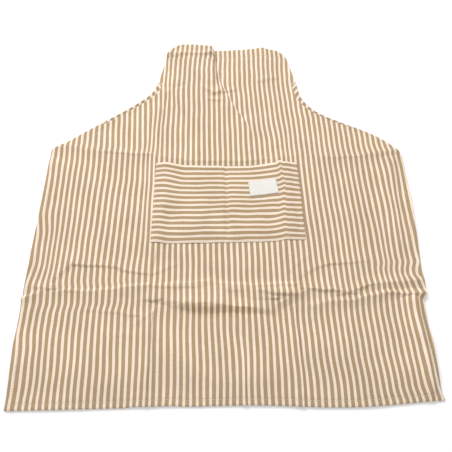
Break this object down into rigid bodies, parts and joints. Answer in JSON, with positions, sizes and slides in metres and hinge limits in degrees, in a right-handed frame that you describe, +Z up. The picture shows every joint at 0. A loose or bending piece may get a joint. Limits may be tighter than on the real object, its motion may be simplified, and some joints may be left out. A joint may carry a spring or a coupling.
{
  "type": "striped cloth bib apron",
  "caption": "Bib apron of striped woven cloth lying flat, with a divided patch pocket across the front and a blank sewn label.",
  "frame": {"origin": "on the surface that the apron lies on, under the middle of its outline", "axes": "+X to the right across the apron as it is seen, +Y along it from the skirt's hem to the bib, +Z up off the surface"},
  "size_m": [0.6788, 0.6992, 0.0147],
  "materials": {
    "striped_cloth": "matt woven cloth, tan and cream stripes along the length",
    "pocket_cloth": "matt woven cloth, tan and cream stripes across the pocket",
    "label_cloth": "smooth white woven tape"
  },
  "bodies": {
    "root": {"front_panel": "striped_cloth", "pocket": "pocket_cloth", "label": "label_cloth"}
  },
  "joints": []
}
